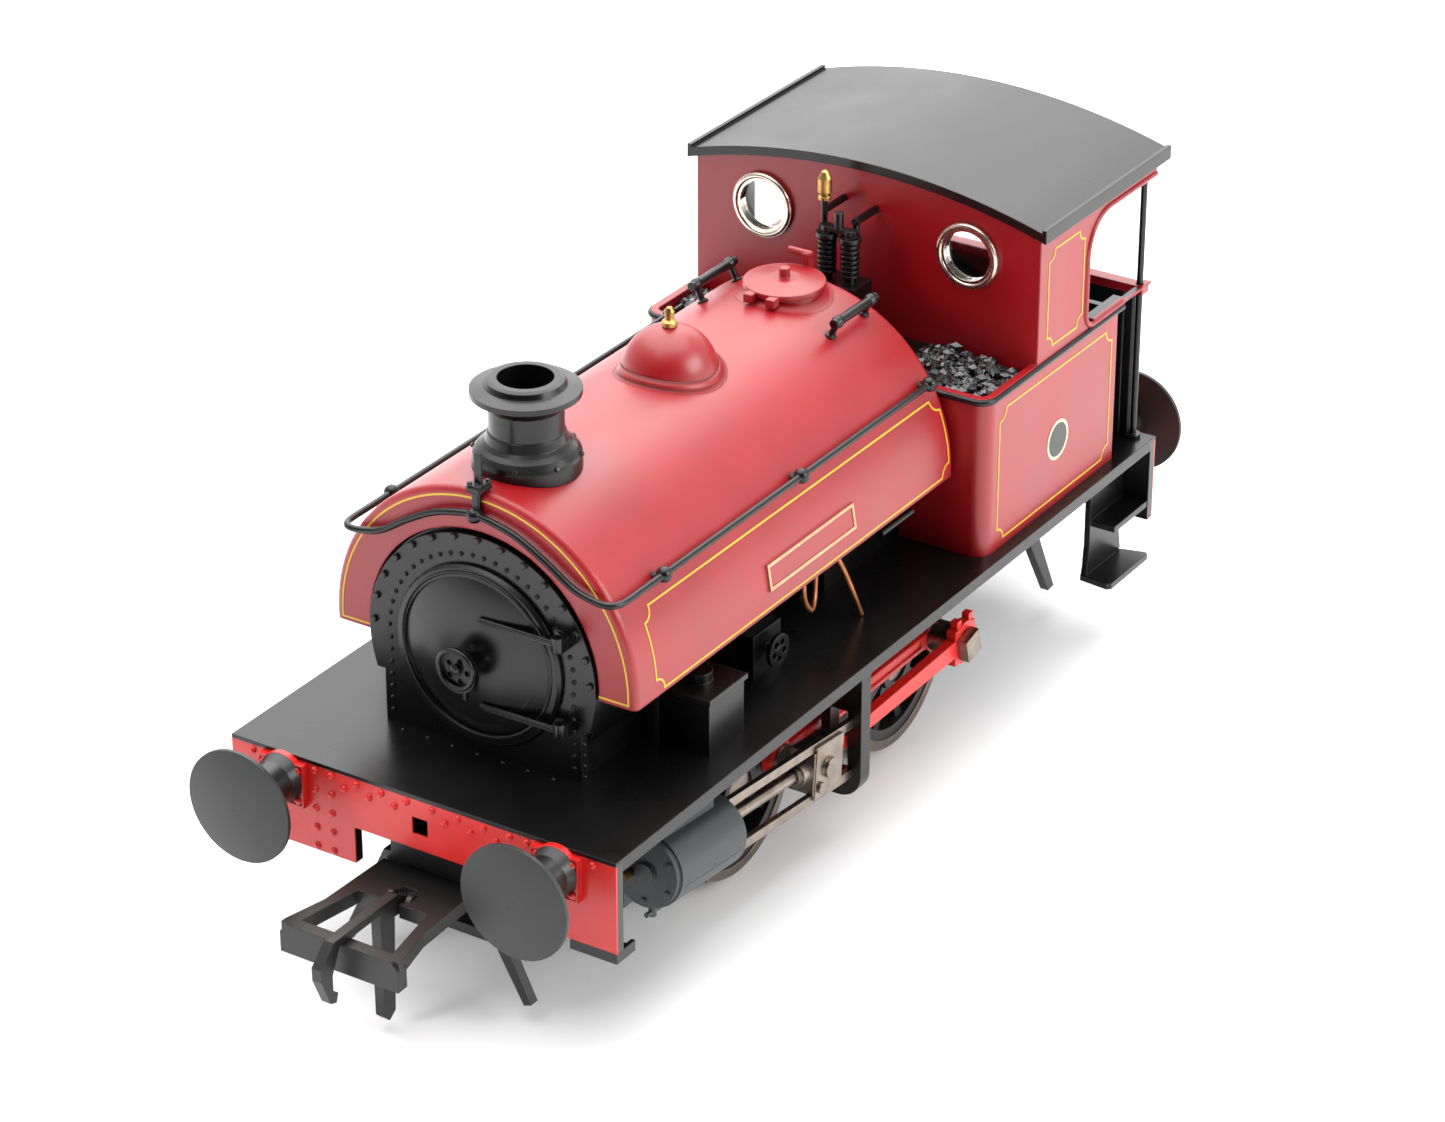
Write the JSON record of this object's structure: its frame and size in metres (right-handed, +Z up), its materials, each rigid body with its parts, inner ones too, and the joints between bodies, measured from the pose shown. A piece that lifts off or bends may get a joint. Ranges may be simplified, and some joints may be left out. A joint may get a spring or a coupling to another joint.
{
  "type": "model saddle-tank locomotive",
  "caption": "Small four-wheeled outside-cylinder saddle-tank model locomotive for 16.5 mm track, with turning wheels, working rods, sprung buffers and lifting coupling hooks.",
  "frame": {"origin": "rail-top level, on the centre line, midway between the outer faces of the two buffer beams", "axes": "+Z up, -Y towards the smokebox (front), +X towards the engine's left-hand side"},
  "size_m": [0.0324, 0.0998, 0.0422],
  "materials": {
    "black_satin": "satin black paint",
    "black_plastic": "matt black moulding",
    "cast_black": "blackened die casting",
    "buffer_black": "chemically blackened, matt",
    "crimson": "satin crimson",
    "signal_red": "satin red",
    "brass": "turned brass",
    "copper": "bare copper wire",
    "window_rim": "bright plated rim",
    "clear": "clear glazing",
    "coal": "glossy broken coal",
    "cylinder_grey": "satin dark grey",
    "bright_steel": "bright nickel-plated steel",
    "wheel_black": "satin black wheel centre",
    "tyre_steel": "turned tyre, browned nickel",
    "circuit_green": "solder-masked board"
  },
  "bodies": {
    "loco_body": {"running_plate": "black_satin", "buffer_beams": "signal_red", "buffer_housings": "black_satin", "buffer_springs": "bright_steel", "coupling_frames": "black_plastic", "saddle_tank": "crimson", "filler_lid": "crimson", "brass_fittings": "brass", "safety_valves": "black_satin", "handrails": "black_satin", "smokebox": "black_satin", "smokebox_door": "black_satin", "chimney": "black_satin", "boiler": "black_satin", "sandboxes_and_valves": "black_satin", "copper_pipes": "copper", "cab_body": "crimson", "cab_roof": "black_satin", "window_rims": "window_rim", "window_glass": "clear", "coal_load": "coal", "cab_pillars": "black_satin", "backhead": "black_satin", "footsteps": "black_satin", "chassis_block": "cast_black", "keeper_plate": "black_plastic", "axle_bearings": "brass", "pickup_strips": "copper", "motor": "bright_steel", "circuit_board": "circuit_green", "body_screws": "bright_steel", "cylinders": "cylinder_grey", "slide_bars": "bright_steel", "motion_brackets": "black_satin"},
    "front_wheelset": {"front_axle": "bright_steel", "front_wheels": "wheel_black", "front_tyres": "tyre_steel"},
    "rear_wheelset": {"rear_axle": "bright_steel", "rear_wheels": "wheel_black", "rear_tyres": "tyre_steel", "axle_gear": "brass"},
    "worm_shaft": {"motor_shaft_and_worm": "brass"},
    "coupling_rod_left": {"coupling_rod_left": "signal_red"},
    "slipper_bolt_left": {"slipper_bolt_left": "bright_steel"},
    "crosshead_left": {"crosshead_left": "bright_steel"},
    "piston_rod_left": {"piston_rod_left": "bright_steel"},
    "small_end_ball_left": {"small_end_ball_left": "bright_steel"},
    "connecting_rod_left": {"connecting_rod_left": "signal_red"},
    "coupling_rod_right": {"coupling_rod_right": "signal_red"},
    "slipper_bolt_right": {"slipper_bolt_right": "bright_steel"},
    "crosshead_right": {"crosshead_right": "bright_steel"},
    "piston_rod_right": {"piston_rod_right": "bright_steel"},
    "small_end_ball_right": {"small_end_ball_right": "bright_steel"},
    "connecting_rod_right": {"connecting_rod_right": "signal_red"},
    "buffer_head_front_left": {"buffer_head_front_left": "buffer_black"},
    "buffer_head_front_right": {"buffer_head_front_right": "buffer_black"},
    "coupling_hook_front": {"coupling_hook_front": "black_plastic"},
    "buffer_head_rear_left": {"buffer_head_rear_left": "buffer_black"},
    "buffer_head_rear_right": {"buffer_head_rear_right": "buffer_black"},
    "coupling_hook_rear": {"coupling_hook_rear": "black_plastic"}
  },
  "joints": [
    {"name": "rear_wheelset_spin", "type": "hinge", "parent": "loco_body", "child": "rear_wheelset", "pos_m": [0, 0.0088, 0.007], "axis": [1, 0, 0], "continuous": true},
    {"name": "front_wheelset_spin", "type": "hinge", "parent": "loco_body", "child": "front_wheelset", "pos_m": [0, -0.0132, 0.007], "axis": [1, 0, 0], "continuous": true},
    {"name": "worm_spin", "type": "hinge", "parent": "loco_body", "child": "worm_shaft", "pos_m": [0, 0.0088, 0.0113], "axis": [0, 1, 0], "continuous": true},
    {"name": "coupling_rod_left_swing", "type": "hinge", "parent": "rear_wheelset", "child": "coupling_rod_left", "pos_m": [0.01055, 0.01268, 0.00797], "axis": [1, 0, 0], "continuous": true},
    {"name": "slipper_bolt_left_turn", "type": "hinge", "parent": "front_wheelset", "child": "slipper_bolt_left", "pos_m": [0.0131, -0.01126, 0.00748], "axis": [1, 0, 0], "continuous": true},
    {"name": "crosshead_left_travel", "type": "hinge", "parent": "slipper_bolt_left", "child": "crosshead_left", "pos_m": [0.0131, -0.00945, 0.00664], "axis": [1, 0, 0], "continuous": true},
    {"name": "piston_rod_left_turn", "type": "hinge", "parent": "crosshead_left", "child": "piston_rod_left", "pos_m": [0.0131, -0.00818, 0.00772], "axis": [0, 0.9954, -0.0958], "continuous": true},
    {"name": "small_end_ball_left_turn", "type": "hinge", "parent": "piston_rod_left", "child": "small_end_ball_left", "pos_m": [0.0131, -0.00818, 0.00772], "axis": [-0.0896, 0.9939, -0.0638], "continuous": true},
    {"name": "connecting_rod_left_swing", "type": "hinge", "parent": "small_end_ball_left", "child": "connecting_rod_left", "pos_m": [0.0131, -0.00818, 0.00772], "axis": [0, 0.9995, -0.0325], "continuous": true},
    {"name": "coupling_rod_right_swing", "type": "hinge", "parent": "rear_wheelset", "child": "coupling_rod_right", "pos_m": [-0.01055, 0.00783, 0.01088], "axis": [1, 0, 0], "continuous": true},
    {"name": "slipper_bolt_right_turn", "type": "hinge", "parent": "front_wheelset", "child": "slipper_bolt_right", "pos_m": [-0.0131, -0.01368, 0.00894], "axis": [1, 0, 0], "continuous": true},
    {"name": "crosshead_right_travel", "type": "hinge", "parent": "slipper_bolt_right", "child": "crosshead_right", "pos_m": [-0.0131, -0.01453, 0.00713], "axis": [1, 0, 0], "continuous": true},
    {"name": "piston_rod_right_turn", "type": "hinge", "parent": "crosshead_right", "child": "piston_rod_right", "pos_m": [-0.0131, -0.01326, 0.00821], "axis": [0, 0.9954, -0.0958], "continuous": true},
    {"name": "small_end_ball_right_turn", "type": "hinge", "parent": "piston_rod_right", "child": "small_end_ball_right", "pos_m": [-0.0131, -0.01326, 0.00821], "axis": [0.0317, 0.9995, -0.0063], "continuous": true},
    {"name": "connecting_rod_right_swing", "type": "hinge", "parent": "small_end_ball_right", "child": "connecting_rod_right", "pos_m": [-0.0131, -0.01326, 0.00821], "axis": [0, 0.9965, 0.0833], "continuous": true},
    {"name": "buffer_head_front_left_press", "type": "slide", "parent": "loco_body", "child": "buffer_head_front_left", "axis": [0, 1, 0], "range_m": [0, 0.001], "stiffness_N_per_m": 80, "deforming": ["buffer_springs"]},
    {"name": "buffer_head_front_right_press", "type": "slide", "parent": "loco_body", "child": "buffer_head_front_right", "axis": [0, 1, 0], "range_m": [0, 0.001], "stiffness_N_per_m": 80},
    {"name": "coupling_hook_front_lift", "type": "hinge", "parent": "loco_body", "child": "coupling_hook_front", "pos_m": [0, -0.0403, 0.0085], "axis": [-1, 0, 0], "range_deg": [0, 20]},
    {"name": "buffer_head_rear_left_press", "type": "slide", "parent": "loco_body", "child": "buffer_head_rear_left", "axis": [0, -1, 0], "range_m": [0, 0.001], "stiffness_N_per_m": 80},
    {"name": "buffer_head_rear_right_press", "type": "slide", "parent": "loco_body", "child": "buffer_head_rear_right", "axis": [0, -1, 0], "range_m": [0, 0.001], "stiffness_N_per_m": 80},
    {"name": "coupling_hook_rear_lift", "type": "hinge", "parent": "loco_body", "child": "coupling_hook_rear", "pos_m": [0, 0.0403, 0.0085], "axis": [1, 0, 0], "range_deg": [0, 20]}
  ],
  "couplings": [
    {"joint": "front_wheelset_spin", "follows": "rear_wheelset_spin", "ratio": 1},
    {"joint": "worm_spin", "follows": "rear_wheelset_spin", "ratio": -15},
    {"joint": "coupling_rod_left_swing", "follows": "rear_wheelset_spin", "ratio": -1},
    {"joint": "slipper_bolt_left_turn", "follows": "rear_wheelset_spin", "ratio": -2},
    {"joint": "crosshead_left_travel", "follows": "rear_wheelset_spin", "ratio": 1},
    {"joint": "piston_rod_left_turn", "follows": "rear_wheelset_spin", "ratio": 1},
    {"joint": "small_end_ball_left_turn", "follows": "rear_wheelset_spin", "ratio": -2},
    {"joint": "connecting_rod_left_swing", "follows": "rear_wheelset_spin", "ratio": 1},
    {"joint": "coupling_rod_right_swing", "follows": "rear_wheelset_spin", "ratio": -1},
    {"joint": "slipper_bolt_right_turn", "follows": "rear_wheelset_spin", "ratio": -2},
    {"joint": "crosshead_right_travel", "follows": "rear_wheelset_spin", "ratio": 1},
    {"joint": "piston_rod_right_turn", "follows": "rear_wheelset_spin", "ratio": 1},
    {"joint": "small_end_ball_right_turn", "follows": "rear_wheelset_spin", "ratio": -2},
    {"joint": "connecting_rod_right_swing", "follows": "rear_wheelset_spin", "ratio": 1}
  ]
}
